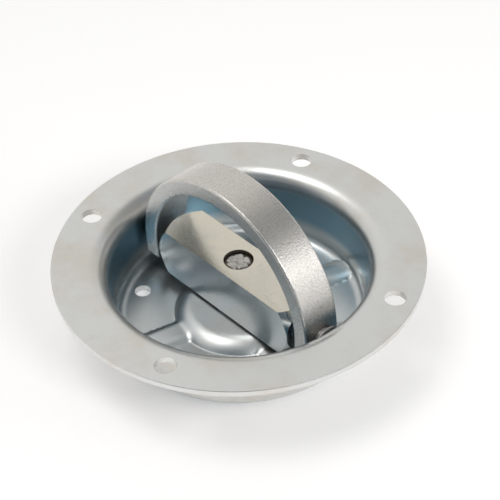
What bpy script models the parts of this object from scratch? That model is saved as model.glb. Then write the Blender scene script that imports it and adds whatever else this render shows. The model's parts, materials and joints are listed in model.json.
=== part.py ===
"""Recessed swivel ring fitting: a pressed steel pan, a swivel block riveted in its middle, and a flat-bar
bail that pivots on two headed pins in the ends of the block.

Units are metres and +Z is up. The origin is the centre of the pan's underside. The bail pivots about
an axis along X, and the block swivels about Z."""

from math import asin, cos, degrees, pi, radians, sin

import bmesh
import bpy
from mathutils import Matrix

# Pan, pressed from one round blank
SHEET = 0.0030
PAN_DEPTH = 0.0352
FLANGE_RADIUS = 0.0825
WALL_TOP_RADIUS = 0.0578
WALL_FOOT_RADIUS = 0.0570
LIP_RADIUS = 0.0085
FOOT_RADIUS = 0.0050
PAN_STEPS = 96

# Screw holes in the flange and drain holes in the floor
SCREW_CIRCLE_RADIUS = 0.07295
SCREW_HOLE_RADIUS = 0.00475
SCREW_ANGLE = radians(23.5)
DRAIN_CIRCLE_RADIUS = 0.0470
DRAIN_HOLE_RADIUS = 0.00375
DRAIN_ANGLE = radians(30.6)

# Raised middle of the floor: a flat-topped cone for a seat, and four low arms from it to the wall
SEAT_TOP_RADIUS = 0.0210
SEAT_FOOT_RADIUS = 0.0302
RAISE = 0.0045
ARM_RISE = 0.0016
ARM_TOP_WIDTH = 0.0076
ARM_FOOT_WIDTH = 0.0144
ARM_ANGLE = radians(75.3)
ARM_FOOT = 0.0027
ARM_ROOT = 0.0060
ARM_BITE = 0.0001
UNDERCUT_INSET = 0.0010

# Swivel stud, its thrust washer and the running gaps
GAP = 0.0003
STUD_RADIUS = 0.00635
STUD_HEAD_RADIUS = 0.0130
STUD_HEAD_THICKNESS = 0.0032
STUD_TIP_RADIUS = 0.0045
STUD_TIP_DROP = 0.0004
STUD_TIP_LENGTH = 0.0022
STUD_CHAMFER = 0.0008
THRUST_WASHER_RADIUS = 0.0108

# Swivel block, a square bar with turned ends
BLOCK_WIDTH = 0.0222
BLOCK_BOTTOM = 0.0087
BLOCK_TOP = 0.0328
BLOCK_HALF_LENGTH = 0.0420
BLOCK_END_RADIUS = 0.01105
BLOCK_BLANK_RADIUS = 0.0180
BLOCK_EDGE = 0.0004
BLANK_ALLOWANCE = 0.0010

# Bail, a flat bar bent to a half ring, and the pins that it turns on
PIVOT_HEIGHT = 0.0211
BAIL_OUTER_RADIUS = 0.0534
BAIL_THICKNESS = 0.0081
BAIL_WIDTH = 0.0188
BAIL_LEG = 0.0135
BAIL_SIDE_PLAY = 0.0010
BAIL_EDGE = 0.0009
PIN_RADIUS = 0.0055
PIN_DEPTH = 0.0180
PIN_HEAD_RADIUS = 0.0076
PIN_HEAD_START = 0.0547
PIN_HEAD_THICKNESS = 0.0021
SPACER_RADIUS = 0.0072
SPACER_THICKNESS = 0.0011

ROUND_STEPS = 48
MERGE = 0.00001
WELD = 0.00005

ZINC = (0.70, 0.70, 0.68, 1.0)
DARK_ZINC = (0.42, 0.42, 0.41, 1.0)
BARE_STEEL = (0.50, 0.47, 0.43, 1.0)


def clear_scene():
    for thing in list(bpy.data.objects):
        bpy.data.objects.remove(thing)


def new_collection(name):
    collection = bpy.data.collections.new(name)
    bpy.context.scene.collection.children.link(collection)
    return collection


def metal(name, colour, roughness):
    material = bpy.data.materials.new(name)
    material.use_nodes = True
    shader = material.node_tree.nodes["Principled BSDF"]
    shader.inputs["Base Color"].default_value = colour
    shader.inputs["Metallic"].default_value = 1.0
    shader.inputs["Roughness"].default_value = roughness
    return material


def arc(centre, radius, start, end, steps):
    """Points of an arc from one angle to the other, in degrees, ends included."""
    angles = [radians(start + (end - start) * i / steps) for i in range(steps + 1)]
    return [(centre[0] + radius * cos(a), centre[1] + radius * sin(a)) for a in angles]


def add_object(name, mesh, collection, material=None):
    obj = bpy.data.objects.new(name, mesh)
    collection.objects.link(obj)
    if material:
        mesh.materials.append(material)
    return obj


def turned(name, profile, steps, collection, material=None, closed=False):
    """A body turned about its own Z from (radius, height) points that run down its outer side."""
    mesh = bpy.data.meshes.new(name)
    edges = [(i, i + 1) for i in range(len(profile) - 1)]
    if closed:
        edges.append((len(profile) - 1, 0))
    mesh.from_pydata([(r, 0.0, z) for r, z in profile], edges, [])
    obj = add_object(name, mesh, collection, material)
    screw = obj.modifiers.new("turn", "SCREW")
    screw.steps = steps
    screw.render_steps = steps
    screw.use_merge_vertices = True
    screw.merge_threshold = MERGE
    screw.use_smooth_shade = False
    return obj


def cylinder(name, radius, height, collection):
    """A cylinder about its own Z, centred on its origin."""
    mesh = bpy.data.meshes.new(name)
    bm = bmesh.new()
    bmesh.ops.create_cone(
        bm, cap_ends=True, segments=ROUND_STEPS, radius1=radius, radius2=radius, depth=height
    )
    bm.to_mesh(mesh)
    bm.free()
    return add_object(name, mesh, collection)


def box(name, size, collection, material=None):
    mesh = bpy.data.meshes.new(name)
    bm = bmesh.new()
    bmesh.ops.create_cube(bm, size=1.0, matrix=Matrix.Diagonal((*size, 1.0)))
    bm.to_mesh(mesh)
    bm.free()
    return add_object(name, mesh, collection, material)


def beam(name, length, top, top_width, bottom, bottom_width, collection):
    """A bar along +X with a tapered section, wide at the bottom and narrower at the top."""
    section = [
        (-bottom_width / 2, bottom),
        (bottom_width / 2, bottom),
        (top_width / 2, top),
        (-top_width / 2, top),
    ]
    mesh = bpy.data.meshes.new(name)
    bm = bmesh.new()
    face = bm.faces.new([bm.verts.new((0.0, y, z)) for y, z in section])
    swept = bmesh.ops.extrude_face_region(bm, geom=[face])
    far = [v for v in swept["geom"] if isinstance(v, bmesh.types.BMVert)]
    bmesh.ops.translate(bm, verts=far, vec=(length, 0.0, 0.0))
    bmesh.ops.recalc_face_normals(bm, faces=bm.faces)
    bm.to_mesh(mesh)
    bm.free()
    return add_object(name, mesh, collection)


def hide(obj):
    obj.hide_render = True
    obj.display_type = "WIRE"


def boolean(obj, other, operation):
    hide(other)
    modifier = obj.modifiers.new(other.name, "BOOLEAN")
    modifier.operation = operation
    modifier.object = other
    modifier.solver = "EXACT"


def bevel(obj, width, segments, angle):
    modifier = obj.modifiers.new("edge", "BEVEL")
    modifier.width = width
    modifier.segments = segments
    modifier.limit_method = "ANGLE"
    modifier.angle_limit = radians(angle)


def at_angle(obj, radius, angle, height):
    obj.location = (radius * cos(angle), radius * sin(angle), height)
    obj.rotation_euler = (0.0, 0.0, angle)


def pan_profile():
    """The closed section of the pan: down the flange's rim, in along the underside, out along the top."""
    lip_x = WALL_TOP_RADIUS + LIP_RADIUS
    lip_z = PAN_DEPTH - LIP_RADIUS
    foot_x = WALL_FOOT_RADIUS - FOOT_RADIUS
    foot_z = SHEET + FOOT_RADIUS
    hole = STUD_RADIUS + GAP
    seat_top = SHEET + RAISE
    rim = [(FLANGE_RADIUS, PAN_DEPTH), (FLANGE_RADIUS, PAN_DEPTH - SHEET)]
    outside = arc((lip_x, lip_z), LIP_RADIUS - SHEET, 90, 180, 4)
    outside += arc((foot_x, foot_z), FOOT_RADIUS + SHEET, 0, -90, 5)
    floor = [(hole, 0.0), (hole, seat_top), (SEAT_TOP_RADIUS, seat_top), (SEAT_FOOT_RADIUS, SHEET)]
    inside = arc((foot_x, foot_z), FOOT_RADIUS, -90, 0, 4)
    inside += arc((lip_x, lip_z), LIP_RADIUS, 180, 90, 6)
    return rim + outside + floor + inside


def cut_recess(pan, tools):
    """The hollow that pressing the seat up leaves under it."""
    slope = (SEAT_FOOT_RADIUS - SEAT_TOP_RADIUS) / RAISE
    top_radius = SEAT_TOP_RADIUS - UNDERCUT_INSET
    profile = [
        (0.0, RAISE),
        (top_radius, RAISE),
        (top_radius + slope * (RAISE + SHEET), -SHEET),
        (0.0, -SHEET),
    ]
    boolean(pan, turned("seat_recess", profile, PAN_STEPS, tools), "DIFFERENCE")


def make_pan(parts, tools, material):
    pan = turned("pan", pan_profile(), PAN_STEPS, parts, material, closed=True)
    spread = (ARM_FOOT_WIDTH - ARM_TOP_WIDTH) / ARM_RISE
    arm_top = SHEET + ARM_RISE
    arm_start = SEAT_FOOT_RADIUS - ARM_ROOT
    arm_end = WALL_FOOT_RADIUS + ARM_BITE
    groove_width = ARM_TOP_WIDTH - 2 * UNDERCUT_INSET
    groove_end = WALL_FOOT_RADIUS - FOOT_RADIUS
    for quarter in range(4):
        turn = quarter * pi / 2
        foot_width = ARM_TOP_WIDTH + spread * (arm_top - ARM_FOOT)
        length = arm_end - arm_start
        arm = beam(f"arm_{quarter}", length, arm_top, ARM_TOP_WIDTH, ARM_FOOT, foot_width, tools)
        at_angle(arm, arm_start, ARM_ANGLE + turn, 0.0)
        boolean(pan, arm, "UNION")
    cut_recess(pan, tools)
    for quarter in range(4):
        turn = quarter * pi / 2
        mouth_width = groove_width + spread * (ARM_RISE + SHEET)
        length = groove_end - arm_start
        groove = beam(
            f"groove_{quarter}", length, ARM_RISE, groove_width, -SHEET, mouth_width, tools
        )
        at_angle(groove, arm_start, ARM_ANGLE + turn, 0.0)
        boolean(pan, groove, "DIFFERENCE")
        drain = cylinder(f"drain_{quarter}", DRAIN_HOLE_RADIUS, 4 * SHEET, tools)
        at_angle(drain, DRAIN_CIRCLE_RADIUS, DRAIN_ANGLE + turn, SHEET / 2)
        boolean(pan, drain, "DIFFERENCE")
        screw = cylinder(f"screw_hole_{quarter}", SCREW_HOLE_RADIUS, 4 * SHEET, tools)
        at_angle(screw, SCREW_CIRCLE_RADIUS, SCREW_ANGLE + turn, PAN_DEPTH - SHEET / 2)
        boolean(pan, screw, "DIFFERENCE")
    weld(pan)


def weld(obj):
    modifier = obj.modifiers.new("weld", "WELD")
    modifier.merge_threshold = WELD


def make_stud(parts, material):
    head_top = RAISE - GAP
    head_bottom = head_top - STUD_HEAD_THICKNESS
    tip_top = BLOCK_TOP - STUD_TIP_DROP
    shoulder = tip_top - STUD_TIP_LENGTH
    profile = [
        (0.0, tip_top),
        (STUD_TIP_RADIUS - STUD_CHAMFER, tip_top),
        (STUD_TIP_RADIUS, tip_top - STUD_CHAMFER),
        (STUD_TIP_RADIUS, shoulder),
        (STUD_RADIUS, shoulder),
        (STUD_RADIUS, head_top),
        (STUD_HEAD_RADIUS, head_top),
        (STUD_HEAD_RADIUS, head_bottom + STUD_CHAMFER),
        (STUD_HEAD_RADIUS - STUD_CHAMFER, head_bottom),
        (0.0, head_bottom),
    ]
    turned("swivel_stud", profile, ROUND_STEPS, parts, material)


def ring_profile(inner, outer, bottom, top):
    return [(outer, top), (outer, bottom), (inner, bottom), (inner, top)]


def make_thrust_washer(parts, material):
    bottom = SHEET + RAISE + GAP
    profile = ring_profile(STUD_RADIUS + GAP, THRUST_WASHER_RADIUS, bottom, BLOCK_BOTTOM - GAP)
    turned("thrust_washer", profile, ROUND_STEPS, parts, material, closed=True)


def lay_along_x(obj, side, height):
    """Turn a body from its own +Z to the row's +X, or to -X on the left side."""
    obj.rotation_euler = (0.0, side * pi / 2, 0.0)
    obj.location = (0.0, 0.0, height)


def make_block(parts, tools, material):
    middle = (BLOCK_BOTTOM + BLOCK_TOP) / 2
    size = (2 * (BLOCK_HALF_LENGTH + BLANK_ALLOWANCE), BLOCK_WIDTH, BLOCK_TOP - BLOCK_BOTTOM)
    block = box("swivel_block", size, parts, material)
    block.location = (0.0, 0.0, middle)
    bevel(block, BLOCK_EDGE, 1, 60)
    cone_run = BLOCK_BLANK_RADIUS - BLOCK_END_RADIUS
    profile = [
        (0.0, BLOCK_HALF_LENGTH),
        (BLOCK_END_RADIUS, BLOCK_HALF_LENGTH),
        (BLOCK_BLANK_RADIUS, BLOCK_HALF_LENGTH - cone_run),
        (BLOCK_BLANK_RADIUS, cone_run - BLOCK_HALF_LENGTH),
        (BLOCK_END_RADIUS, -BLOCK_HALF_LENGTH),
        (0.0, -BLOCK_HALF_LENGTH),
    ]
    blank = turned("turned_blank", profile, 2 * ROUND_STEPS, tools)
    lay_along_x(blank, 1, middle)
    boolean(block, blank, "INTERSECT")
    bore = cylinder("stud_bore", STUD_RADIUS + GAP, 2 * BLOCK_TOP, tools)
    bore.location = (0.0, 0.0, middle)
    boolean(block, bore, "DIFFERENCE")
    hole_depth = PIN_DEPTH + GAP
    for name, side in (("pin_hole_left", -1), ("pin_hole_right", 1)):
        hole = cylinder(name, PIN_RADIUS + GAP, 2 * hole_depth, tools)
        hole.rotation_euler = (0.0, pi / 2, 0.0)
        hole.location = (side * BLOCK_HALF_LENGTH, 0.0, PIVOT_HEIGHT)
        boolean(block, hole, "DIFFERENCE")


def make_pins(parts, material):
    head_end = PIN_HEAD_START + PIN_HEAD_THICKNESS
    start = BLOCK_HALF_LENGTH - PIN_DEPTH
    chamfer = 0.0008
    profile = [
        (0.0, head_end),
        (PIN_HEAD_RADIUS * 0.5, head_end - 0.0003),
        (PIN_HEAD_RADIUS * 0.85, head_end - 0.0010),
        (PIN_HEAD_RADIUS, head_end - 0.0017),
        (PIN_HEAD_RADIUS, PIN_HEAD_START),
        (PIN_RADIUS, PIN_HEAD_START),
        (PIN_RADIUS, start + chamfer),
        (PIN_RADIUS - chamfer, start),
        (0.0, start),
    ]
    for name, side in (("bail_pin_left", -1), ("bail_pin_right", 1)):
        pin = turned(name, profile, ROUND_STEPS, parts, material)
        lay_along_x(pin, side, PIVOT_HEIGHT)


def make_spacers(parts, material):
    near = BLOCK_HALF_LENGTH + GAP
    profile = ring_profile(PIN_RADIUS + GAP, SPACER_RADIUS, near, near + SPACER_THICKNESS)
    for name, side in (("spacer_washer_left", -1), ("spacer_washer_right", 1)):
        washer = turned(name, profile, ROUND_STEPS, parts, material, closed=True)
        lay_along_x(washer, side, PIVOT_HEIGHT)


def bail_outline():
    """The bail seen along Y: the outer arc runs on round the legs, whose inner sides are straight."""
    inner = BAIL_OUTER_RADIUS - BAIL_THICKNESS
    foot_angle = -degrees(asin(BAIL_LEG / BAIL_OUTER_RADIUS))
    outer_arc = arc((0.0, 0.0), BAIL_OUTER_RADIUS, foot_angle, 180 - foot_angle, 40)
    inner_arc = arc((0.0, 0.0), inner, 180, 0, 32)
    return outer_arc + [(-inner, -BAIL_LEG)] + inner_arc + [(inner, -BAIL_LEG)]


def make_bail(parts, tools, material):
    mesh = bpy.data.meshes.new("bail")
    bm = bmesh.new()
    bm.faces.new([bm.verts.new((x, 0.0, z)) for x, z in bail_outline()])
    bm.to_mesh(mesh)
    bm.free()
    bail = add_object("bail", mesh, parts, material)
    bail.location = (-BAIL_SIDE_PLAY, 0.0, PIVOT_HEIGHT)
    solidify = bail.modifiers.new("bar_width", "SOLIDIFY")
    solidify.thickness = BAIL_WIDTH
    solidify.offset = 0.0
    bevel(bail, BAIL_EDGE, 2, 50)
    eye = cylinder("bail_eye", PIN_RADIUS + GAP, 3 * BAIL_OUTER_RADIUS, tools)
    eye.rotation_euler = (0.0, pi / 2, 0.0)
    eye.location = (0.0, 0.0, PIVOT_HEIGHT)
    boolean(bail, eye, "DIFFERENCE")
    boolean(bail, leg_trim(tools), "INTERSECT")


def leg_trim(tools):
    """What is kept of the bail: below the pivot, only what lies within a leg's length of the pivot axis."""
    reach = 2 * BAIL_OUTER_RADIUS
    outline = [(BAIL_LEG, reach), (-BAIL_LEG, reach)] + arc((0.0, 0.0), BAIL_LEG, 180, 360, ROUND_STEPS)
    mesh = bpy.data.meshes.new("leg_trim")
    bm = bmesh.new()
    bm.faces.new([bm.verts.new((0.0, y, z)) for y, z in outline])
    bm.to_mesh(mesh)
    bm.free()
    trim = add_object("leg_trim", mesh, tools)
    trim.location = (0.0, 0.0, PIVOT_HEIGHT)
    solidify = trim.modifiers.new("length", "SOLIDIFY")
    solidify.thickness = 3 * BAIL_OUTER_RADIUS
    solidify.offset = 0.0
    return trim


def hang(child, parent):
    """Parent an object to an empty and leave it where it is."""
    bpy.context.view_layer.update()
    world = child.matrix_world.copy()
    child.parent = parent
    child.matrix_parent_inverse = parent.matrix_world.inverted()
    child.matrix_world = world


def add_axes(parts):
    """Empties on the two joint axes carry the pieces that move."""
    swivel = bpy.data.objects.new("swivel_axis", None)
    pivot = bpy.data.objects.new("bail_axis", None)
    pivot.location = (0.0, 0.0, PIVOT_HEIGHT)
    for empty in (swivel, pivot):
        empty.empty_display_size = 0.02
        parts.objects.link(empty)
    hang(pivot, swivel)
    for obj in parts.objects:
        if obj.type == "MESH" and obj.name not in {"pan", "bail", "thrust_washer"}:
            hang(obj, swivel)
    hang(parts.objects["bail"], pivot)


def smooth_round_faces(parts):
    for obj in parts.objects:
        if obj.type == "MESH":
            obj.data.shade_smooth()
            obj.data.set_sharp_from_angle(angle=radians(30))


def main():
    clear_scene()
    parts = new_collection("swivel_ring_pan")
    tools = new_collection("cutters")
    zinc = metal("zinc_plate", ZINC, 0.35)
    dark_zinc = metal("dark_zinc_plate", DARK_ZINC, 0.45)
    bare = metal("bare_steel", BARE_STEEL, 0.5)
    make_pan(parts, tools, zinc)
    make_stud(parts, bare)
    make_thrust_washer(parts, dark_zinc)
    make_block(parts, tools, zinc)
    make_pins(parts, bare)
    make_spacers(parts, dark_zinc)
    make_bail(parts, tools, zinc)
    add_axes(parts)
    smooth_round_faces(parts)


main()
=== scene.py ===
import json
from math import atan2, cos, degrees, hypot, pi, radians, sin, sqrt

import bmesh
import bpy
from bpy.props import FloatProperty, FloatVectorProperty, IntProperty, PointerProperty
from mathutils import Matrix, Vector, noise


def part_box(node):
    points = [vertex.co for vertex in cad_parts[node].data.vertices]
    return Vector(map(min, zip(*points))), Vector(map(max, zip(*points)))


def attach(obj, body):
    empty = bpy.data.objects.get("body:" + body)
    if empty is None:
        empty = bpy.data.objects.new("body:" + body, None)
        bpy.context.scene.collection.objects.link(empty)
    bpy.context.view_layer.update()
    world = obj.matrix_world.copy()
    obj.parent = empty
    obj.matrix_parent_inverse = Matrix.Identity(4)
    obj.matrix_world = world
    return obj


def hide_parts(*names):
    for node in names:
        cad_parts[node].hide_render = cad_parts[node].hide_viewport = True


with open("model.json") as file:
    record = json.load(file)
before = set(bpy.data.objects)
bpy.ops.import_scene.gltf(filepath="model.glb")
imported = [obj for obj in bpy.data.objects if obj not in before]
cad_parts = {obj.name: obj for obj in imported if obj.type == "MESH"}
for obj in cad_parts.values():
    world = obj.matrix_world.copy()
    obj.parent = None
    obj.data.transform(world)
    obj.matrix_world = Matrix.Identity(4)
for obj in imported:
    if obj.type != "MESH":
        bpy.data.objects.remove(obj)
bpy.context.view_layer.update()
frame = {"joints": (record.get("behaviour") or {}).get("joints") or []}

bl_info = {
    "name": "Recessed swivel ring",
    "version": (1, 0, 0),
    "blender": (4, 5, 0),
    "location": "View3D > Sidebar > Swivel ring",
    "description": "Builds a pressed pan with a swivel block and a folding bail, in zinc plate",
    "category": "Object",
}

PAN_LOW, PAN_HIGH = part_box("pan")
BLOCK_LOW, BLOCK_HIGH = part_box("swivel_block")
BAIL_LOW, BAIL_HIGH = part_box("bail")
STUD_LOW, STUD_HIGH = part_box("swivel_stud")
PIN_LOW, PIN_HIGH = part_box("bail_pin_right")
SPACER_LOW, SPACER_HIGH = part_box("spacer_washer_right")
THRUST_LOW, THRUST_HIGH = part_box("thrust_washer")
PIVOT = next(j["pos_m"] for j in frame["joints"] if j["name"] == "bail_pivot")

# Gap between a piece and the one it sits in
GAP = 0.0003
# Radius of the holes for the stud, in pan and block, and for the pins, in block and bail
STUD_HOLE = 0.00665
PIN_HOLE = 0.0058
# How far the seat is pressed up, on the pan's top and underside alike
SEAT_RISE = 0.0045


# ---------------------------------------------------------------- settings

def length(name, description, default):
    return FloatProperty(name=name, description=description, default=default, unit="LENGTH", precision=5)


def angle(name, description, default):
    return FloatProperty(name=name, description=description, default=radians(default), subtype="ANGLE")


def colour(name, description, default):
    return FloatVectorProperty(
        name=name, description=description, default=default, subtype="COLOR", min=0.0, max=1.0
    )


class PanSizes(bpy.types.PropertyGroup):
    flange_radius: length("Flange radius", "Outer radius of the flange", PAN_HIGH.x)
    depth: length("Depth", "From the flange's top to the pan's underside", PAN_HIGH.z)
    sheet: length("Sheet", "Thickness of the pressed sheet", 0.0030)
    wall_top: length("Wall top radius", "Inner radius of the bowl under the lip", 0.0578)
    wall_foot: length("Wall foot radius", "Inner radius of the bowl near the floor", 0.0570)
    lip: length("Lip radius", "Radius of the bend from flange to wall", 0.0085)
    foot: length("Foot radius", "Radius of the bend from wall to floor", 0.0050)
    rim: length("Rim radius", "Rounding of the flange's cut edge", 0.0004)
    stud_hole: length("Stud hole radius", "Hole that the swivel stud turns in", STUD_HOLE)
    seat_top: length("Seat top radius", "Radius of the raised seat's flat top", 0.0205)
    seat_foot: length("Seat foot radius", "Radius of the raised seat at the floor", 0.0302)
    rise: length("Rise", "How far the seat stands over the floor", SEAT_RISE)
    arm_rise: length("Arm rise", "How far a raised arm stands over the floor", 0.0017)
    arm_width: length("Arm width", "Width of a raised arm at the floor", 0.0144)
    arm_turn: angle("Arm angle", "Direction of the first raised arm", 75.3)
    screw_circle: length("Screw circle radius", "Radius of the circle of screw holes", 0.07295)
    screw_hole: length("Screw hole radius", "Radius of a screw hole", 0.00475)
    screw_turn: angle("Screw angle", "Direction of the first screw hole", 23.5)
    drain_circle: length("Drain circle radius", "Radius of the circle of drain holes", 0.0470)
    drain_hole: length("Drain hole radius", "Radius of a drain hole", 0.00375)
    drain_turn: angle("Drain angle", "Direction of the first drain hole", 30.6)


class SwivelSizes(bpy.types.PropertyGroup):
    end_radius: length("End radius", "Radius of the block's turned end face", 0.01105)
    blank_radius: length("Blank radius", "Radius of the round that the ends are turned to", 0.0180)
    edge: length("Edge radius", "Rounding of the block's edges", 0.00035)
    bore: length("Bore radius", "Radius of the stud's hole in the block", STUD_HOLE)
    pin_hole: length("Pin hole radius", "Radius of a pin's hole in the block", PIN_HOLE)
    pin_depth: length("Pin depth", "Depth of a pin's hole in the block", 0.0183)
    tip: length("Stud tip radius", "Radius of the stud's staked tip", 0.0053)
    pin: length("Pin radius", "Radius of a bail pin's shank", PIN_HOLE - GAP)


class BailSizes(bpy.types.PropertyGroup):
    outer: length("Outer radius", "Outer radius of the bail", (BAIL_HIGH.x - BAIL_LOW.x) / 2)
    thickness: length("Thickness", "Thickness of the flat bar", 0.0081)
    width: length("Width", "Width of the flat bar", BAIL_HIGH.y - BAIL_LOW.y)
    leg: length("Leg", "Length of a leg past the pivot", PIVOT[2] - BAIL_LOW.z)
    corner: length("Corner radius", "Rounding of the bar's long edges", 0.0011)
    eye: length("Eye radius", "Radius of the eye in a leg", PIN_HOLE)
    steps: IntProperty(name="Steps", description="Stations along the bar", default=220, min=24)


class Finishes(bpy.types.PropertyGroup):
    zinc: colour("Zinc", "Clean zinc plate", (0.72, 0.72, 0.705))
    # The cool tone is partly the blue of passivation and partly painted dark reflection inside the bowl;
    # the washers take it as their plain plate
    cool: colour("Passivated zinc", "Zinc where the passivation is deeper", (0.20, 0.33, 0.41))
    warm: colour("Handled zinc", "Zinc on worn and handled faces", (0.67, 0.63, 0.57))
    milled: colour("Milled zinc", "Thin plate on the milled block", (0.73, 0.69, 0.59))
    tumbled: colour("Tumbled zinc", "Plate on the tumbled bail", (0.66, 0.63, 0.60))
    rust: colour("Brown edge", "Thin brown bloom along edges", (0.33, 0.20, 0.11))
    bare: colour("Bare steel", "Peened steel without plate", (0.36, 0.32, 0.28))
    pitted: colour("Pitted zinc", "Darker pits in the tumbled plate", (0.50, 0.48, 0.46))
    worn: colour("Worn steel", "Thin plate on the pin heads", (0.46, 0.44, 0.42))
    # This cooler grey is painted shade and reflection on the block's upright faces and the bail's downward
    # faces, not a different plate
    shaded_side_tone: colour("Side zinc", "Plate on the block's upright faces", (0.60, 0.63, 0.65))
    # This brown is painted shade on the pins' lower side, and grime and painted shade in the stud's groove
    grime_and_shade: colour("Crevice", "Brown grime in the stud's bore", (0.160, 0.110, 0.075))


class StageSettings(bpy.types.PropertyGroup):
    azimuth: angle("Camera azimuth", "Direction that the camera looks from", 48.65)
    elevation: angle("Camera elevation", "Height of the camera over the horizon", 41.10)
    roll: angle("Camera roll", "Turn of the camera about its own axis", 2.164)
    distance: length("Camera distance", "From the flange's centre", 0.6880)
    offset_right: length("Offset right", "Camera's sideways offset", 0.00512)
    offset_up: length("Offset up", "Camera's upward offset", 0.00243)
    view: angle("Field of view", "Full width of the camera's view", 18.14)


# ---------------------------------------------------------------- mesh helpers

def arc(centre_x, centre_z, radius, start, end, steps):
    """Points on an arc from one angle to the other, in degrees, ends included."""
    turn = [radians(start + (end - start) * i / steps) for i in range(steps + 1)]
    return [(centre_x + radius * cos(a), centre_z + radius * sin(a)) for a in turn]


def smoothstep(value):
    """0 to 1 with a smooth start and end, for a value from 0 to 1."""
    value = min(max(value, 0.0), 1.0)
    return value * value * (3 - 2 * value)


def soft_minimum(first, second, blend):
    """The smaller of two distances, rounded off over a width of blend where they meet."""
    mix = min(max(0.5 + 0.5 * (second - first) / blend, 0.0), 1.0)
    return second * (1 - mix) + first * mix - blend * mix * (1 - mix)


def new_piece(name, bm, sharp=35):
    """Turn a bmesh into a named object, smooth but for edges sharper than the given angle."""
    bmesh.ops.recalc_face_normals(bm, faces=bm.faces)
    mesh = bpy.data.meshes.new(name)
    bm.to_mesh(mesh)
    bm.free()
    mesh.shade_smooth()
    mesh.set_sharp_from_angle(angle=radians(sharp))
    piece = bpy.data.objects.new(name, mesh)
    bpy.context.scene.collection.objects.link(piece)
    return piece


def spin(bm, profile, steps, closed=False):
    """Turn (radius, height) points about Z. Points on the axis become one vertex."""
    rings = []
    for radius, height in profile:
        if radius < 1e-7:
            rings.append([bm.verts.new((0.0, 0.0, height))])
            continue
        turn = [2 * pi * i / steps for i in range(steps)]
        rings.append([bm.verts.new((radius * cos(a), radius * sin(a), height)) for a in turn])
    pairs = list(zip(rings, rings[1:]))
    if closed:
        pairs.append((rings[-1], rings[0]))
    for upper, lower in pairs:
        for i in range(steps):
            corners = [upper[i % len(upper)], lower[i % len(lower)]]
            corners += [lower[(i + 1) % len(lower)], upper[(i + 1) % len(upper)]]
            bm.faces.new(list(dict.fromkeys(corners)))
    return rings


def cylinder_cutter(name, radius, depth, matrix, segments=96):
    """A cylinder along its matrix's own Z, to cut a hole with."""
    bm = bmesh.new()
    bmesh.ops.create_cone(
        bm, cap_ends=True, segments=segments, radius1=radius, radius2=radius, depth=depth, matrix=matrix
    )
    return new_piece(name, bm)


def apply_modifiers(piece):
    """Bake the piece's modifiers into its mesh."""
    graph = bpy.context.evaluated_depsgraph_get()
    mesh = bpy.data.meshes.new_from_object(piece.evaluated_get(graph))
    piece.modifiers.clear()
    piece.data = mesh


def cut(piece, cutters, operation="DIFFERENCE"):
    """Combine a piece with each cutter in turn and remove the cutters."""
    for cutter in cutters:
        modifier = piece.modifiers.new("cut", "BOOLEAN")
        modifier.operation = operation
        modifier.object = cutter
        modifier.solver = "EXACT"
    apply_modifiers(piece)
    for cutter in cutters:
        bpy.data.objects.remove(cutter)


def soften(piece, width, limit=30):
    """Round a piece's edges where they turn by more than the limit, in degrees."""
    modifier = piece.modifiers.new("soften", "BEVEL")
    modifier.width = width
    modifier.segments = 3
    modifier.limit_method = "ANGLE"
    modifier.angle_limit = radians(limit)
    modifier.use_clamp_overlap = True
    apply_modifiers(piece)
    settle_shading(piece, sharp=40)


def settle_shading(piece, sharp):
    """Smooth shading that large flat faces keep flat."""
    piece.data.shade_smooth()
    piece.data.set_sharp_from_angle(angle=radians(sharp))
    modifier = piece.modifiers.new("flat faces", "WEIGHTED_NORMAL")
    modifier.weight = 100
    modifier.keep_sharp = True
    apply_modifiers(piece)


def place(piece, body, nodes, material):
    """Give a piece its material and its place in the frame."""
    piece.data.materials.clear()
    piece.data.materials.append(material)
    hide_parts(*nodes)
    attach(piece, body)


# ---------------------------------------------------------------- pan

# Exponents of the seat's and the arms' sections: higher is flatter on top and steeper at the foot
SEAT_CURVE = 2.1
ARM_CURVE = 3.4
# Widths over which an arm runs into the seat, and both into the floor
ARM_FILLET = 0.0012
FOOT_FILLET = 0.0001
# How much smaller the seat and arms are on the underside than on top
UNDER_INSET = 0.0010
# Slack round the region of the sheet's top that the press may lift
PRESS_SLACK = 0.0001
# Angle in degrees over which the pan's shading breaks
PAN_CREASE = 22
PAN_STEPS = 432
FLOOR_STEPS = 64
LIP_STEPS = 16
FOOT_STEPS = 10
RIM_STEPS = 4
HOLE_STEPS = 64


def pressed_height(sizes, x, y, inset):
    """Height of the domed seat and the crowned arms over the floor; inset shrinks their outline."""
    radius = hypot(x, y) + inset
    slope = max(0.0, (radius - sizes.seat_top) / (sizes.seat_foot - sizes.seat_top))
    height = sizes.rise * (1 - slope ** SEAT_CURVE)
    for quarter in range(4):
        turn = sizes.arm_turn + quarter * pi / 2
        along = x * cos(turn) + y * sin(turn)
        across = abs(y * cos(turn) - x * sin(turn)) + inset
        if along > 0:
            arm = sizes.arm_rise * (1 - (2 * across / sizes.arm_width) ** ARM_CURVE)
            height = -soft_minimum(-height, -arm, ARM_FILLET)
    return -soft_minimum(-height, 0.0, FOOT_FILLET)


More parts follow.
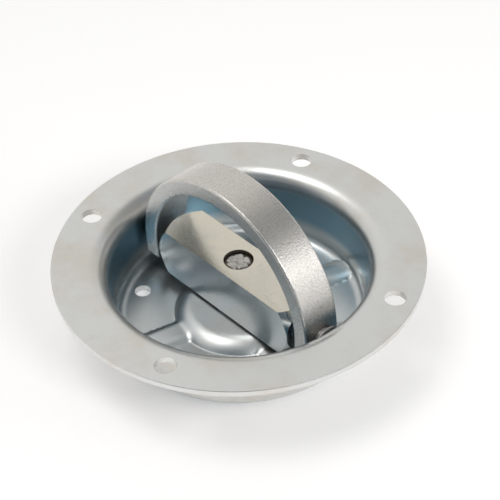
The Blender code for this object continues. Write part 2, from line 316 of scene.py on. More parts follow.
def pan_sections(sizes):
    """The top and the under side of the pan from the stud hole out to the rim, as (radius, height)."""
    lip_x = sizes.wall_top + sizes.lip
    lip_z = sizes.depth - sizes.lip
    foot_x = sizes.wall_foot - sizes.foot
    foot_z = sizes.sheet + sizes.foot
    rim_x = sizes.flange_radius - sizes.rim
    radii = [sizes.stud_hole + (foot_x - sizes.stud_hole) * i / FLOOR_STEPS for i in range(FLOOR_STEPS)]
    top = [(r, sizes.sheet) for r in radii]
    top += arc(foot_x, foot_z, sizes.foot, -90, 0, FOOT_STEPS)
    top += arc(lip_x, lip_z, sizes.lip, 180, 90, LIP_STEPS)
    top += arc(rim_x, sizes.depth - sizes.rim, sizes.rim, 90, 0, RIM_STEPS)
    under = [(r, 0.0) for r in radii]
    under += arc(foot_x, foot_z, sizes.foot + sizes.sheet, -90, 0, FOOT_STEPS)
    under += arc(lip_x, lip_z, sizes.lip - sizes.sheet, 180, 90, LIP_STEPS)
    under += arc(rim_x, sizes.depth - sizes.sheet + sizes.rim, sizes.rim, -90, 0, RIM_STEPS)
    return top, under


def pressed_side(bm, sizes, section, inset, slack):
    """One side of the pan as rings of points, with the seat and arms pressed up.

    The press lifts what lies inside the wall's foot and under the foot's bend, give or take the slack.
    """
    reach = sizes.wall_foot + slack
    ceiling = sizes.sheet + sizes.foot + slack
    floor_height = section[0][1]
    rings = []
    for radius, height in section:
        ring = []
        for i in range(PAN_STEPS):
            turn = 2 * pi * i / PAN_STEPS
            x = radius * cos(turn)
            y = radius * sin(turn)
            z = height
            if radius < reach and height < ceiling:
                z = max(z, pressed_height(sizes, x, y, inset) + floor_height)
            ring.append(bm.verts.new((x, y, z)))
        rings.append(ring)
    return rings


def bridge(bm, first, second):
    """Join two closed loops of points with a band of faces."""
    count = len(first)
    for i in range(count):
        after = (i + 1) % count
        bm.faces.new((first[i], first[after], second[after], second[i]))


def build_pan(sizes, material):
    """The pressed pan: its top and underside, joined at the stud hole and the rim, then drilled."""
    bm = bmesh.new()
    top_section, under_section = pan_sections(sizes)
    top = pressed_side(bm, sizes, top_section, 0.0, PRESS_SLACK)
    under = pressed_side(bm, sizes, under_section, UNDER_INSET, -sizes.foot)
    for side in (top, under):
        for inner, outer in zip(side, side[1:]):
            bridge(bm, inner, outer)
    bridge(bm, top[0], under[0])
    bridge(bm, top[-1], under[-1])
    pan = new_piece("pressed_pan", bm, PAN_CREASE)
    cutters = []
    holes = (
        (sizes.screw_hole, sizes.screw_circle, sizes.screw_turn, sizes.depth - sizes.sheet / 2),
        (sizes.drain_hole, sizes.drain_circle, sizes.drain_turn, sizes.sheet / 2),
    )
    for radius, circle, first_turn, height in holes:
        for quarter in range(4):
            turn = first_turn + quarter * pi / 2
            place_at = Matrix.Translation((circle * cos(turn), circle * sin(turn), height))
            cutters.append(cylinder_cutter("hole", radius, 3 * sizes.sheet, place_at, HOLE_STEPS))
    cut(pan, cutters)
    settle_shading(pan, PAN_CREASE)
    place(pan, "pan", ["pan"], material)
    return pan


# ---------------------------------------------------------------- block

# Length that the turning takes off the bar
BAR_ALLOWANCE = 0.004
BLOCK_STEPS = 192


def along_x(side, height):
    """Turns a body's own +Z to the row's +X, or to -X on the left side."""
    return Matrix.Translation((0.0, 0.0, height)) @ Matrix.Rotation(side * pi / 2, 4, "Y")


def build_block(sizes, material):
    """The swivel block: a flat-sided bar with coned ends, bored for the stud and for both pins."""
    middle = (BLOCK_LOW.z + BLOCK_HIGH.z) / 2
    half = BLOCK_HIGH.x
    bm = bmesh.new()
    bar = (2 * half + BAR_ALLOWANCE, BLOCK_HIGH.y - BLOCK_LOW.y, BLOCK_HIGH.z - BLOCK_LOW.z, 1.0)
    bmesh.ops.create_cube(bm, size=1.0, matrix=Matrix.Translation((0, 0, middle)) @ Matrix.Diagonal(bar))
    block = new_piece("turned_block", bm)
    run = sizes.blank_radius - sizes.end_radius
    profile = [(0.0, half), (sizes.end_radius, half), (sizes.blank_radius, half - run)]
    profile += [(r, -x) for r, x in reversed(profile)]
    blank = bmesh.new()
    spin(blank, profile, BLOCK_STEPS)
    bmesh.ops.transform(blank, matrix=along_x(1, middle), verts=blank.verts)
    cut(block, [new_piece("blank", blank)], "INTERSECT")
    bore = Matrix.Translation((0.0, 0.0, middle))
    cutters = [cylinder_cutter("bore", sizes.bore, 2 * BLOCK_HIGH.z, bore)]
    for side in (-1, 1):
        at = Matrix.Translation((side * half, 0.0, PIVOT[2])) @ Matrix.Rotation(pi / 2, 4, "Y")
        cutters.append(cylinder_cutter("pin_hole", sizes.pin_hole, 2 * sizes.pin_depth, at))
    cut(block, cutters)
    soften(block, sizes.edge)
    place(block, "swivel", ["swivel_block"], material)
    return block


# ---------------------------------------------------------------- stud, pins and washers

STUD_STEPS = 96
CROWN_STEPS = 14
CROWN_DROP = 0.0005
HEAD_CHAMFER = 0.0007
# The nicks that the staking punch leaves in the tip: directions and half width in radians, and depth
STAKE_ANGLES = (0.35, 1.75, 2.9, 4.0, 5.4)
STAKE_HALF_ANGLE = 0.2
STAKE_DEPTH = 0.0005
# Height of the beaten tip, and how far its outline wanders
TIP_HEIGHT = 0.0010
TIP_RAGGED = 0.00055
# Hurst exponent, lacunarity and octaves of a peened surface
PEENING = (0.6, 2.1, 3)

PIN_STEPS = 72
DOME_STEPS = 12
# Half the angle that a pin's dome spans, in radians, and its height
DOME_SPAN = 1.15
DOME_HEIGHT = 0.0011
PIN_HEAD_THICKNESS = 0.0021
PIN_EDGE = 0.0002
PIN_CHAMFER = 0.0008

WASHER_STEPS = 96
THRUST_EDGE = 0.0003
SPACER_EDGE = 0.0002


def roughen(piece, amount, scale, seed, where=None):
    """Push a piece's points inward along their normals by up to the given amount, as peening does."""
    mesh = piece.data
    shift = Vector((seed, seed * 1.7, seed * 2.3))
    normals = [v.normal.copy() for v in mesh.vertices]
    for vertex, normal in zip(mesh.vertices, normals):
        if where and not where(vertex.co):
            continue
        lift = noise.fractal(vertex.co * scale + shift, *PEENING)
        vertex.co -= normal * amount * min(max(0.5 + lift, 0.0), 1.0)
    mesh.update()


def turn_gap(first, second):
    """The signed angle between two directions."""
    return atan2(sin(first - second), cos(first - second))


def stud_section(sizes):
    """The stud's section as (radius, height), from the tip's crown down to the head's underside."""
    top = STUD_HIGH.z
    shank = sizes.bore - GAP
    head = STUD_HIGH.x
    head_top = SEAT_RISE - GAP
    steps = [i / CROWN_STEPS for i in range(CROWN_STEPS)]
    crown = [(sizes.tip * step, top - CROWN_DROP * step ** 3) for step in steps]
    return crown + [
        (sizes.tip - 0.0001, top - 0.0006),
        (sizes.tip + 0.0001, top - 0.0009),
        (sizes.tip + 0.0002, top - 0.0011),
        (shank - 0.0004, top - 0.0012),
        (shank, top - 0.0016),
        (shank, head_top + HEAD_CHAMFER),
        (shank + HEAD_CHAMFER / 2, head_top),
        (head - HEAD_CHAMFER, head_top),
        (head, head_top - HEAD_CHAMFER / 2),
        (head, STUD_LOW.z + HEAD_CHAMFER),
        (head - HEAD_CHAMFER, STUD_LOW.z),
        (0.0, STUD_LOW.z),
    ]


def stake(stud, tip):
    """Beat the stud's tip out of round and nick it where the staking punch struck."""
    for vertex in stud.data.vertices:
        point = vertex.co
        radius = hypot(point.x, point.y)
        if point.z < STUD_HIGH.z - TIP_HEIGHT or radius < 1e-6:
            continue
        turn = atan2(point.y, point.x)
        ragged = noise.noise(Vector((cos(turn), sin(turn), 0.3)) * 1.9) * TIP_RAGGED
        nick = sum(max(0.0, 1 - abs(turn_gap(turn, n)) / STAKE_HALF_ANGLE) for n in STAKE_ANGLES)
        outward = smoothstep((radius / tip - 0.5) * 2)
        scale = 1 + outward * (ragged - STAKE_DEPTH * nick) / radius
        point.x *= scale
        point.y *= scale
        point.z -= STAKE_DEPTH * nick * outward


def build_stud(sizes, material):
    """The swivel stud: a wide head under the seat, a shank and a tip staked over in the block's bore."""
    bm = bmesh.new()
    spin(bm, stud_section(sizes), STUD_STEPS)
    stud = new_piece("staked_stud", bm, sharp=60)
    stake(stud, sizes.tip)
    ring_floor = STUD_HIGH.z - 0.0012
    roughen(stud, amount=0.00035, scale=900.0, seed=3.1, where=lambda p: p.z > ring_floor)
    place(stud, "swivel", ["swivel_stud"], material)
    return stud


def pin_section(sizes):
    """A pin's section as (radius, distance along the pin), from the dome to the inner end."""
    end = PIN_HIGH.x
    start = PIN_LOW.x
    head = (PIN_HIGH.z - PIN_LOW.z) / 2
    seat = end - PIN_HEAD_THICKNESS
    turns = [DOME_SPAN * i / DOME_STEPS for i in range(DOME_STEPS + 1)]
    shrink = (head - PIN_EDGE) / (head * sin(DOME_SPAN))
    drop = DOME_HEIGHT / (1 - cos(DOME_SPAN))
    dome = [(head * sin(a) * shrink, end - drop * (1 - cos(a))) for a in turns]
    return dome + [
        (head, end - DOME_HEIGHT - 0.00025),
        (head, seat + PIN_EDGE),
        (head - PIN_EDGE, seat),
        (sizes.pin, seat),
        (sizes.pin, start + PIN_CHAMFER),
        (sizes.pin - PIN_CHAMFER, start),
        (0.0, start),
    ]


def build_pin(sizes, side, material):
    """A headed pin: its domed head lies outside the leg, its shank in the end of the block."""
    bm = bmesh.new()
    spin(bm, pin_section(sizes), PIN_STEPS)
    bmesh.ops.transform(bm, matrix=along_x(side, PIVOT[2]), verts=bm.verts)
    name, node = ("near_pin", "bail_pin_right") if side > 0 else ("far_pin", "bail_pin_left")
    pin = new_piece(name, bm, sharp=50)
    head_edge = PIN_HIGH.x - PIN_HEAD_THICKNESS + PIN_EDGE
    roughen(pin, amount=0.00018, scale=420.0, seed=7.0 + side, where=lambda p: abs(p.x) > head_edge)
    place(pin, "swivel", [node], material)
    return pin


def ring_section(inner, outer, bottom, top, edge):
    """The closed section of a washer with slightly rounded edges."""
    points = []
    for x, z, start in (
        (outer - edge, top - edge, 90),
        (outer - edge, bottom + edge, 0),
        (inner + edge, bottom + edge, -90),
        (inner + edge, top - edge, -180),
    ):
        points += arc(x, z, edge, start, start - 90, 3)
    return points


def build_washer(name, node, body, section, matrix, material):
    bm = bmesh.new()
    spin(bm, section, WASHER_STEPS, closed=True)
    bmesh.ops.transform(bm, matrix=matrix, verts=bm.verts)
    washer = new_piece(name, bm, sharp=50)
    place(washer, body, [node], material)
    return washer


# ---------------------------------------------------------------- bail

LEG_STEPS = 16
CORNER_STEPS = 5
# Rounding of the eyes and the legs' ends, in corner radii
EYE_EDGE = 0.6
# The thinnest that a section may get, in corner radii
THINNEST = 2.2


def bar_section(half_width, corner, thickness):
    """One section of the bar: points (distance from its inner face, width) round a rounded rectangle."""
    corner = min(corner, thickness / THINNEST)
    points = []
    for reach, width, start in (
        (thickness - corner, half_width - corner, 0),
        (corner, half_width - corner, 90),
        (corner, corner - half_width, 180),
        (thickness - corner, corner - half_width, 270),
    ):
        points += arc(reach, width, corner, start, start + 90, CORNER_STEPS)
    return points


def bail_stations(sizes):
    """Stations along the bail as (inner point, outer point), from the right leg's end to the left's."""
    outer = sizes.outer
    inner = outer - sizes.thickness
    right = []
    for i in range(LEG_STEPS):
        drop = sizes.leg * (1 - i / LEG_STEPS)
        right.append(((inner, -drop), (sqrt(outer ** 2 - drop ** 2), -drop)))
    turns = [pi * i / sizes.steps for i in range(sizes.steps + 1)]
    crown = [((inner * cos(a), inner * sin(a)), (outer * cos(a), outer * sin(a))) for a in turns]
    left = [((-a[0], a[1]), (-b[0], b[1])) for a, b in reversed(right)]
    return right + crown + left


def leg_trim(sizes):
    """What is kept of the bail: below the pivot, only what lies within a leg's length of its axis."""
    reach = 2 * sizes.outer
    outline = [(sizes.leg, reach), (-sizes.leg, reach)] + arc(0.0, 0.0, sizes.leg, 180, 360, 64)
    bm = bmesh.new()
    face = bm.faces.new([bm.verts.new((-reach, y, PIVOT[2] + z)) for y, z in outline])
    swept = bmesh.ops.extrude_face_region(bm, geom=[face])
    far = [v for v in swept["geom"] if isinstance(v, bmesh.types.BMVert)]
    bmesh.ops.translate(bm, verts=far, vec=(2 * reach, 0.0, 0.0))
    return new_piece("leg_trim", bm)


def build_bail(sizes, material):
    """The bail: a flat bar swept over a half ring, its legs rounded about the pivot and drilled."""
    bm = bmesh.new()
    middle_x = (BAIL_LOW.x + BAIL_HIGH.x) / 2
    loops = []
    for inner, outer in bail_stations(sizes):
        inner = Vector(inner)
        across = Vector(outer) - inner
        outward = across.normalized()
        loop = []
        for reach, width in bar_section(sizes.width / 2, sizes.corner, across.length):
            point = inner + outward * reach
            loop.append(bm.verts.new((middle_x + point.x, width, PIVOT[2] + point.y)))
        loops.append(loop)
    for first, second in zip(loops, loops[1:]):
        bridge(bm, first, second)
    bm.faces.new(loops[0])
    bm.faces.new(loops[-1])
    bail = new_piece("forged_bail", bm, sharp=40)
    eye = Matrix.Translation((0, 0, PIVOT[2])) @ Matrix.Rotation(pi / 2, 4, "Y")
    cut(bail, [leg_trim(sizes)], "INTERSECT")
    cut(bail, [cylinder_cutter("eye", sizes.eye, 3 * sizes.outer, eye)])
    soften(bail, sizes.corner * EYE_EDGE, limit=50)
    place(bail, "bail", ["bail"], material)
    return bail


# ---------------------------------------------------------------- shader groups

class Graph:
    """A short way to add and join shader nodes in a material or group."""

    def __init__(self, tree):
        self.tree = tree

    def node(self, kind, **settings):
        made = self.tree.nodes.new(kind)
        for key, value in settings.items():
            setattr(made, key, value)
        return made

    def feed(self, socket, value):
        if isinstance(value, bpy.types.NodeSocket):
            self.tree.links.new(value, socket)
        elif value is not None:
            socket.default_value = value

    def coordinates(self):
        return self.node("ShaderNodeTexCoord").outputs["Object"]

    def normal(self):
        return self.node("ShaderNodeNewGeometry").outputs["Normal"]

    def along(self, axis, vector):
        """One coordinate of a vector."""
        made = self.node("ShaderNodeSeparateXYZ")
        self.feed(made.inputs[0], vector)
        return made.outputs[axis]

    def dot(self, first, second):
        made = self.node("ShaderNodeVectorMath", operation="DOT_PRODUCT")
        self.feed(made.inputs[0], first)
        self.feed(made.inputs[1], second)
        return made.outputs["Value"]

    def math(self, operation, first, second=None, third=None):
        made = self.node("ShaderNodeMath", operation=operation)
        for socket, value in zip(made.inputs, (first, second, third)):
            self.feed(socket, value)
        return made.outputs[0]

    def ramp(self, value, low, high):
        """0 under low, 1 over high, smooth between."""
        made = self.node("ShaderNodeMapRange", interpolation_type="SMOOTHSTEP")
        self.feed(made.inputs["Value"], value)
        self.feed(made.inputs["From Min"], low)
        self.feed(made.inputs["From Max"], high)
        return made.outputs["Result"]

    def mix(self, factor, first, second):
        made = self.node("ShaderNodeMix", data_type="RGBA")
        self.feed(made.inputs[0], factor)
        self.feed(made.inputs[6], first)
        self.feed(made.inputs[7], second)
        return made.outputs[2]

    def noise(self, vector, scale, detail=3.0, roughness=0.55):
        made = self.node("ShaderNodeTexNoise")
        self.feed(made.inputs["Vector"], vector)
        self.feed(made.inputs["Scale"], scale)
        self.feed(made.inputs["Detail"], detail)
        self.feed(made.inputs["Roughness"], roughness)
        return made.outputs["Fac"]

    def stretch(self, vector, factors):
        made = self.node("ShaderNodeMapping")
        self.feed(made.inputs["Vector"], vector)
        made.inputs["Scale"].default_value = factors
        return made.outputs["Vector"]


def shader_group(name, inputs, outputs):
    """A new node group with named sockets; returns the group, its graph and its two end nodes."""
    group = bpy.data.node_groups.new(name, "ShaderNodeTree")
    for socket, kind, default in inputs:
        made = group.interface.new_socket(socket, in_out="INPUT", socket_type=kind)
        if default is not None:
            made.default_value = default
    for socket, kind in outputs:
        group.interface.new_socket(socket, in_out="OUTPUT", socket_type=kind)
    graph = Graph(group)
    return group, graph, graph.node("NodeGroupInput").outputs, graph.node("NodeGroupOutput").inputs


FLOAT = "NodeSocketFloat"
COLOUR = "NodeSocketColor"


def plating_group():
    """Cloudy tone, fine grain and thin scratches of worn zinc plate."""
    group, graph, given, out = shader_group(
        "Zinc plating",
        [
            ("Clean", COLOUR, (0.7, 0.7, 0.7, 1)),
            ("Stained", COLOUR, (0.6, 0.6, 0.55, 1)),
            ("Stain", FLOAT, 0.35),
            ("Roughness", FLOAT, 0.35),
            ("Grain", FLOAT, 0.3),
            ("Scratches", FLOAT, 0.3),
        ],
        [("Color", COLOUR), ("Roughness", FLOAT), ("Height", FLOAT)],
    )
    where = graph.coordinates()
    clouds = graph.noise(where, scale=38.0, detail=5.0, roughness=0.6)
    smudge = graph.noise(where, scale=110.0, detail=4.0, roughness=0.6)
    fine = graph.noise(where, scale=2600.0, detail=2.0, roughness=0.6)
    along = graph.noise(graph.stretch(where, (1.0, 14.0, 6.0)), scale=130.0, detail=2.0, roughness=0.5)
    across = graph.noise(graph.stretch(where, (16.0, 1.2, 6.0)), scale=110.0, detail=2.0, roughness=0.5)
    scratch = graph.math("MAXIMUM", graph.ramp(along, 0.66, 0.74), graph.ramp(across, 0.68, 0.76))
    scratch = graph.math("MULTIPLY", scratch, given["Scratches"])
    stain = graph.math("MULTIPLY", graph.ramp(clouds, 0.42, 0.68), given["Stain"])
    half_stain = graph.math("MULTIPLY", given["Stain"], 0.5)
    stain = graph.math("MULTIPLY_ADD", graph.ramp(smudge, 0.6, 0.75), half_stain, stain)
    tone = graph.mix(stain, given["Clean"], given["Stained"])
    grain = graph.math("SUBTRACT", fine, 0.5)
    lift = graph.math("MULTIPLY_ADD", grain, graph.math("MULTIPLY", given["Grain"], 0.8), 1.0)
    grained = graph.node("ShaderNodeVectorMath", operation="SCALE")
    graph.feed(grained.inputs[0], tone)
    graph.feed(grained.inputs["Scale"], lift)
    graph.feed(out["Color"], grained.outputs[0])
    rough = graph.math("MULTIPLY_ADD", graph.math("SUBTRACT", clouds, 0.5), 0.18, given["Roughness"])
    rough = graph.math("MULTIPLY_ADD", grain, graph.math("MULTIPLY", given["Grain"], 0.3), rough)
    rough = graph.math("MULTIPLY_ADD", scratch, 0.12, rough)
    graph.feed(out["Roughness"], rough)
    height = graph.math("MULTIPLY", fine, given["Grain"])
    graph.feed(out["Height"], graph.math("SUBTRACT", height, graph.math("MULTIPLY", scratch, 0.6)))
    return group


def edge_group():
    """A mask of 1 along edges, where a rounded normal leaves the true one, broken up by noise."""
    group, graph, given, out = shader_group(
        "Worn edges",
        [("Amount", FLOAT, 0.5), ("Break up", FLOAT, 0.5), ("Width", FLOAT, 0.0006)],
        [("Mask", FLOAT)],
    )
    bevel = graph.node("ShaderNodeBevel", samples=4)
    graph.feed(bevel.inputs["Radius"], given["Width"])
    edge = graph.ramp(graph.dot(bevel.outputs["Normal"], graph.normal()), 0.985, 0.80)
    patch = graph.ramp(graph.noise(graph.coordinates(), scale=240.0, detail=3.0, roughness=0.6), 0.35, 0.65)
    lost = graph.math("MULTIPLY", given["Break up"], graph.math("SUBTRACT", 1.0, patch))
    kept = graph.math("MULTIPLY", edge, graph.math("SUBTRACT", 1.0, lost))
    graph.feed(out["Mask"], graph.math("MULTIPLY", kept, given["Amount"]))
    return group


def group_node(graph, group, **values):
    """Add a shared group with its inputs set by name, an underscore standing for a space."""
    made = graph.node("ShaderNodeGroup")
    made.node_tree = group
    for name, value in values.items():
        graph.feed(made.inputs[name.replace("_", " ")], value)
    return made.outputs


def shared(name, build):
    """The node group of that name, built the first time it is asked for."""
    return bpy.data.node_groups.get(name) or build()


def solid(value):
    return (*value, 1.0)


# ---------------------------------------------------------------- materials

# Height at the lip where the bowl's blue tint starts, and where it is at its full depth; the tint is partly
# passivation and partly painted dark reflection
TINT_TOP = 0.0325
TINT_FULL = 0.0255
# Height under which only a share of the tint is left, height over which it is whole, and that share
TINT_FLOOR = 0.0080
TINT_WALL = 0.0150
TINT_LEFT = 0.20
# Radius outside which there is no tint, and radius inside which it is whole
TINT_OUTSIDE = 0.0594
TINT_INSIDE = 0.0588
# Depth under the stud's top where the brown grime and painted shade of its groove start, and over what
# height they thicken
STUD_DARK = 0.0005
STUD_DARK_DEPTH = 0.0006
# Depth under the pivot where painted shade starts on a pin's lower side, and over what height it thickens
PIN_SHADE = 0.0030
PIN_SHADE_DEPTH = 0.0060


def new_metal(name):
    """A new metallic material, its graph and the inputs of its shader."""
    material = bpy.data.materials.new(name)
    material.use_nodes = True
    shader = material.node_tree.nodes["Principled BSDF"].inputs
    shader["Metallic"].default_value = 1.0
    return material, Graph(material.node_tree), shader


def plated(graph, clean, stained, **values):
    """The shared plating in two tones."""
    group = shared("Zinc plating", plating_group)
    return group_node(graph, group, Clean=solid(clean), Stained=solid(stained), **values)


def worn_edges(graph, tone, rust, **values):
    """A tone with brown bloom along the piece's edges."""
    mask = group_node(graph, shared("Worn edges", edge_group), **values)["Mask"]
    return graph.mix(mask, tone, solid(rust))


def bump(graph, shader, height, strength, distance):
    made = graph.node("ShaderNodeBump")
    made.inputs["Strength"].default_value = strength
    made.inputs["Distance"].default_value = distance
    graph.feed(made.inputs["Height"], height)
    graph.feed(shader["Normal"], made.outputs["Normal"])


def bowl_mask(graph):
    """Where the blue goes, part passivation and part painted dark reflection: 1 on the wall of the bowl,
    less on its floor and 0 on the flange and outside.
    """
    where = graph.coordinates()
    height = graph.along("Z", where)
    below_lip = graph.ramp(height, TINT_TOP, TINT_FULL)
    up_the_wall = graph.ramp(height, TINT_FLOOR, TINT_WALL)
    above_floor = graph.math("MULTIPLY_ADD", up_the_wall, 1 - TINT_LEFT, TINT_LEFT)
    flat = graph.node("ShaderNodeCombineXYZ")
    graph.feed(flat.inputs["X"], graph.along("X", where))
    graph.feed(flat.inputs["Y"], graph.along("Y", where))
    radius = graph.node("ShaderNodeVectorMath", operation="LENGTH")
    graph.feed(radius.inputs[0], flat.outputs[0])
    inside = graph.ramp(radius.outputs["Value"], TINT_OUTSIDE, TINT_INSIDE)
    return graph.math("MULTIPLY", graph.math("MULTIPLY", below_lip, above_floor), inside)


def pan_zinc(finish):
    """Satin zinc, bluer inside the bowl, partly from passivation and partly as painted dark reflection."""
    material, graph, shader = new_metal("pan_zinc")
    plate = plated(graph, finish.zinc, finish.warm, Stain=0.75, Roughness=0.33, Grain=0.20, Scratches=0.9)
    # Painted dark reflection, together with the blue of passivation, on the bowl's wall
    tone = graph.mix(bowl_mask(graph), plate["Color"], solid(finish.cool))
    tone = worn_edges(graph, tone, finish.rust, Amount=0.6, Break_up=0.6, Width=0.0005)
    graph.feed(shader["Base Color"], tone)
    graph.feed(shader["Roughness"], plate["Roughness"])
    bump(graph, shader, plate["Height"], strength=0.15, distance=0.0002)
    return material


def block_zinc(finish):
    """Thin zinc on a milled top; the upright faces are painted greyer and bluer, as painted shade and
    reflection.
    """
    material, graph, shader = new_metal("block_zinc")
    plate = plated(graph, finish.milled, finish.warm, Stain=0.95, Roughness=0.24, Grain=0.25, Scratches=0.8)
    # Painted shade and reflection: upright faces take the cooler grey
    unshaded_top = graph.ramp(graph.along("Z", graph.normal()), 0.3, 0.8)
    tone = graph.mix(unshaded_top, solid(finish.shaded_side_tone), plate["Color"])
    tone = worn_edges(graph, tone, finish.rust, Amount=0.7, Break_up=0.5, Width=0.0005)
    graph.feed(shader["Base Color"], tone)
    graph.feed(shader["Roughness"], plate["Roughness"])
    bump(graph, shader, plate["Height"], strength=0.2, distance=0.0002)
    return material


def bail_zinc(finish):
    """Tumbled zinc with fine pits, painted greyer where it faces down, as painted shade."""
    material, graph, shader = new_metal("bail_zinc")
    plate = plated(graph, finish.tumbled, finish.warm, Stain=0.7, Roughness=0.30, Grain=0.7, Scratches=0.3)
    # Painted shade: faces turned down take the cooler grey
    unshaded_top = graph.ramp(graph.along("Z", graph.normal()), -0.3, 0.6)
    tone = graph.mix(unshaded_top, solid(finish.shaded_side_tone), plate["Color"])
    speckle = graph.noise(graph.coordinates(), scale=1250.0, detail=2.0, roughness=0.7)
    tone = graph.mix(graph.ramp(speckle, 0.50, 0.30), tone, solid(finish.pitted))
    tone = worn_edges(graph, tone, finish.rust, Amount=1.0, Break_up=0.45, Width=0.0009)
    graph.feed(shader["Base Color"], tone)
    graph.feed(shader["Roughness"], plate["Roughness"])
    relief = graph.math("MULTIPLY_ADD", speckle, 1.4, plate["Height"])
    bump(graph, shader, relief, strength=0.28, distance=0.0004)
    return material


def peened_steel(name, finish, clean, dark_top, dark_depth):
    """Peened steel, turned brown from a height down and whole the depth below it: painted shade on the
    pins' lower side, grime and painted shade in the stud's groove.
    """
    material, graph, shader = new_metal(name)
    plate = plated(graph, clean, finish.bare, Stain=0.9, Roughness=0.40, Grain=0.5, Scratches=0.4)
    # Painted shade: brown and not metallic below the given height
    darkening = graph.ramp(graph.along("Z", graph.coordinates()), dark_top, dark_top - dark_depth)
    graph.feed(shader["Base Color"], graph.mix(darkening, plate["Color"], solid(finish.grime_and_shade)))
    graph.feed(shader["Metallic"], graph.math("SUBTRACT", 1.0, darkening))
    graph.feed(shader["Roughness"], plate["Roughness"])
    bump(graph, shader, plate["Height"], strength=0.4, distance=0.0003)
    return material


def dull_zinc(finish):
    """Dull plate of the washers."""
    material, graph, shader = new_metal("dull_zinc")
    plate = plated(graph, finish.cool, finish.bare, Stain=0.6, Roughness=0.45, Grain=0.4, Scratches=0.3)
    graph.feed(shader["Base Color"], plate["Color"])
    graph.feed(shader["Roughness"], plate["Roughness"])
    bump(graph, shader, plate["Height"], strength=0.3, distance=0.0002)
    return material


# ---------------------------------------------------------------- stage

# Softboxes: name, azimuth from the camera's and elevation in degrees, distance, size, power
SOFTBOXES = (
    ("overhead", -96, 70, 1.2, (0.50, 0.50), 2.5),
    ("right_side", 74, 23, 1.0, (0.46, 0.46), 1.15),
    ("right_key", 37, 40, 1.0, (0.34, 0.28), 2.6),
)
FLOOR_HALF = 3.0
# How far the floor lies under the pan
FLOOR_DROP = 0.0002
FLOOR_GLOW = 0.24
FLOOR_TONES = ((0.93, 0.905, 0.89, 1.0), (0.95, 0.925, 0.91, 1.0))
ROOM_LIGHT = (0.80, 0.80, 0.785, 1.0)
ROOM_DARK = (0.06, 0.10, 0.13, 1.0)
ROOM_GREY = (0.26, 0.28, 0.29, 1.0)
# Azimuth from the camera's right and elevation, in degrees, of the grey part of the room
GREY_AZIMUTH = 12
GREY_ELEVATION = 55


def add_camera(settings):
    """The camera stands off the flange's centre at its azimuth and elevation, with a small roll."""
    target = Vector((0.0, 0.0, PAN_HIGH.z))
    level = Matrix.Rotation(settings.azimuth, 3, "Z") @ Matrix.Rotation(pi / 2 - settings.elevation, 3, "X")
    turned = level @ Matrix.Rotation(-settings.roll, 3, "Z")
    offset = Vector((settings.offset_right, settings.offset_up, settings.distance))
    data = bpy.data.cameras.new("camera")
    data.sensor_width = 36.0
    data.angle = settings.view
    data.clip_start = 0.01
    camera = bpy.data.objects.new("camera", data)
    bpy.context.scene.collection.objects.link(camera)
    camera.matrix_world = Matrix.Translation(target + turned @ offset) @ turned.to_4x4()
    bpy.context.scene.camera = camera


def add_softbox(name, azimuth, elevation, distance, size, power):
    """An area light that faces the object from an azimuth, counted as the camera's is."""
    data = bpy.data.lights.new(name, "AREA")
    data.shape = "RECTANGLE"
    data.size, data.size_y = size
    data.energy = power
    light = bpy.data.objects.new(name, data)
    bpy.context.scene.collection.objects.link(light)
    turn = Matrix.Rotation(radians(azimuth), 4, "Z") @ Matrix.Rotation(radians(90 - elevation), 4, "X")
    light.matrix_world = turn @ Matrix.Translation((0.0, 0.0, distance))


def add_floor():
    """A plain pale floor that glows a little, so that it stays white in the soft light."""
    bm = bmesh.new()
    bmesh.ops.create_grid(bm, x_segments=8, y_segments=8, size=FLOOR_HALF)
    floor = new_piece("floor", bm)
    floor.location.z = -FLOOR_DROP
    material = bpy.data.materials.new("pale_floor")
    material.use_nodes = True
    graph = Graph(material.node_tree)
    shader = material.node_tree.nodes["Principled BSDF"].inputs
    tone = graph.mix(graph.noise(graph.coordinates(), scale=6.0, detail=2.0), *FLOOR_TONES)
    graph.feed(shader["Base Color"], tone)
    shader["Roughness"].default_value = 0.9
    shader["Emission Color"].default_value = (1.0, 1.0, 1.0, 1.0)
    shader["Emission Strength"].default_value = FLOOR_GLOW
    floor.data.materials.append(material)


def add_world(azimuth):
    """Soft room light: bright behind and overhead, dark on the camera's side, grey high on its right."""
    world = bpy.data.worlds.new("studio")
    world.use_nodes = True
    bpy.context.scene.world = world
    graph = Graph(world.node_tree)
    ray = graph.node("ShaderNodeTexCoord").outputs["Generated"]
    toward_camera = graph.dot(ray, (sin(azimuth), -cos(azimuth), 0.0))
    tone = graph.mix(graph.ramp(toward_camera, 0.10, 0.60), ROOM_LIGHT, ROOM_DARK)
    high = radians(GREY_ELEVATION)
    aside = Matrix.Rotation(azimuth + radians(GREY_AZIMUTH), 3, "Z") @ Vector((cos(high), 0.0, sin(high)))
    tone = graph.mix(graph.ramp(graph.dot(ray, aside), 0.78, 0.97), tone, ROOM_GREY)
    background = world.node_tree.nodes["Background"]
    graph.feed(background.inputs["Color"], tone)
    background.inputs["Strength"].default_value = 1.0


# ---------------------------------------------------------------- operators

class BuildPan(bpy.types.Operator):
    """Build the pressed pan in the place of its plain solid"""
    bl_idname = "swivel_ring.build_pan"
    bl_label = "Pan"

    def execute(self, context):
        scene = context.scene
        build_pan(scene.pan_sizes, pan_zinc(scene.ring_finishes))
        return {"FINISHED"}


class BuildBlock(bpy.types.Operator):
    """Build the swivel block with its turned ends"""
    bl_idname = "swivel_ring.build_block"
    bl_label = "Swivel block"

    def execute(self, context):
        scene = context.scene
        build_block(scene.swivel_sizes, block_zinc(scene.ring_finishes))
        return {"FINISHED"}


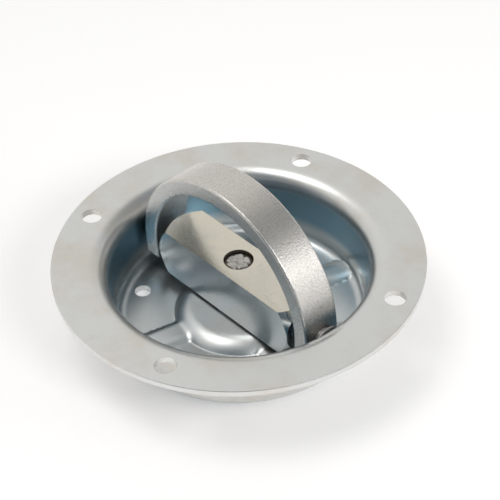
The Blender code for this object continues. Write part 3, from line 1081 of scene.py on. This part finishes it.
class BuildStud(bpy.types.Operator):
    """Build the staked swivel stud"""
    bl_idname = "swivel_ring.build_stud"
    bl_label = "Swivel stud"

    def execute(self, context):
        scene = context.scene
        finish = scene.ring_finishes
        # Grime and painted shade in the stud's groove start this far under its top
        dark_top = STUD_HIGH.z - STUD_DARK
        material = peened_steel("staked_steel", finish, finish.tumbled, dark_top, STUD_DARK_DEPTH)
        build_stud(scene.swivel_sizes, material)
        return {"FINISHED"}


class BuildPins(bpy.types.Operator):
    """Build the two headed pins that the bail turns on"""
    bl_idname = "swivel_ring.build_pins"
    bl_label = "Bail pins"

    def execute(self, context):
        scene = context.scene
        finish = scene.ring_finishes
        # Painted shade on the pins' lower side starts this far under the pivot
        dark_top = PIVOT[2] - PIN_SHADE
        material = peened_steel("headed_steel", finish, finish.worn, dark_top, PIN_SHADE_DEPTH)
        for side in (-1, 1):
            build_pin(scene.swivel_sizes, side, material)
        return {"FINISHED"}


class BuildWashers(bpy.types.Operator):
    """Build the thrust washer and the two spacer washers"""
    bl_idname = "swivel_ring.build_washers"
    bl_label = "Washers"

    def execute(self, context):
        scene = context.scene
        sizes = scene.swivel_sizes
        material = dull_zinc(scene.ring_finishes)
        thrust = ring_section(sizes.bore, THRUST_HIGH.x, THRUST_LOW.z, THRUST_HIGH.z, THRUST_EDGE)
        build_washer("thrust_ring", "thrust_washer", "pan", thrust, Matrix.Identity(4), material)
        outer = (SPACER_HIGH.z - SPACER_LOW.z) / 2
        spacer = ring_section(sizes.pin_hole, outer, SPACER_LOW.x, SPACER_HIGH.x, SPACER_EDGE)
        for name, node, side in (
            ("far_spacer", "spacer_washer_left", -1),
            ("near_spacer", "spacer_washer_right", 1),
        ):
            build_washer(name, node, "swivel", spacer, along_x(side, PIVOT[2]), material)
        return {"FINISHED"}


class BuildBail(bpy.types.Operator):
    """Build the flat-bar bail"""
    bl_idname = "swivel_ring.build_bail"
    bl_label = "Bail"

    def execute(self, context):
        scene = context.scene
        build_bail(scene.bail_sizes, bail_zinc(scene.ring_finishes))
        return {"FINISHED"}


class BuildStage(bpy.types.Operator):
    """Set up the floor, the soft light and the camera"""
    bl_idname = "swivel_ring.build_stage"
    bl_label = "Stage"

    def execute(self, context):
        settings = context.scene.stage_settings
        facing = degrees(settings.azimuth)
        add_floor()
        add_world(settings.azimuth)
        for name, azimuth, elevation, distance, size, power in SOFTBOXES:
            add_softbox(name, facing + azimuth, elevation, distance, size, power)
        add_camera(settings)
        context.scene.view_settings.view_transform = "Standard"
        return {"FINISHED"}


class SwivelRingPanel(bpy.types.Panel):
    """The swivel ring's pieces, one button each"""
    bl_idname = "VIEW3D_PT_swivel_ring"
    bl_label = "Swivel ring"
    bl_space_type = "VIEW_3D"
    bl_region_type = "UI"
    bl_category = "Swivel ring"

    def draw(self, context):
        for operator in OPERATORS:
            self.layout.operator(operator.bl_idname)
        for name, _ in SETTINGS:
            group = getattr(context.scene, name)
            column = self.layout.column(heading=name.replace("_", " "))
            for setting in group.bl_rna.properties:
                if setting.identifier not in {"rna_type", "name"}:
                    column.prop(group, setting.identifier)


OPERATORS = (BuildStage, BuildPan, BuildBlock, BuildStud, BuildPins, BuildWashers, BuildBail)
SETTINGS = (
    ("pan_sizes", PanSizes),
    ("swivel_sizes", SwivelSizes),
    ("bail_sizes", BailSizes),
    ("ring_finishes", Finishes),
    ("stage_settings", StageSettings),
)


def register():
    for name, group in SETTINGS:
        bpy.utils.register_class(group)
        setattr(bpy.types.Scene, name, PointerProperty(type=group))
    for operator in OPERATORS:
        bpy.utils.register_class(operator)
    bpy.utils.register_class(SwivelRingPanel)


def unregister():
    bpy.utils.unregister_class(SwivelRingPanel)
    for operator in reversed(OPERATORS):
        bpy.utils.unregister_class(operator)
    for name, group in reversed(SETTINGS):
        delattr(bpy.types.Scene, name)
        bpy.utils.unregister_class(group)


def main():
    register()
    for operator in OPERATORS:
        family, name = operator.bl_idname.split(".")
        getattr(getattr(bpy.ops, family), name)()


if __name__ == "__main__":
    main()
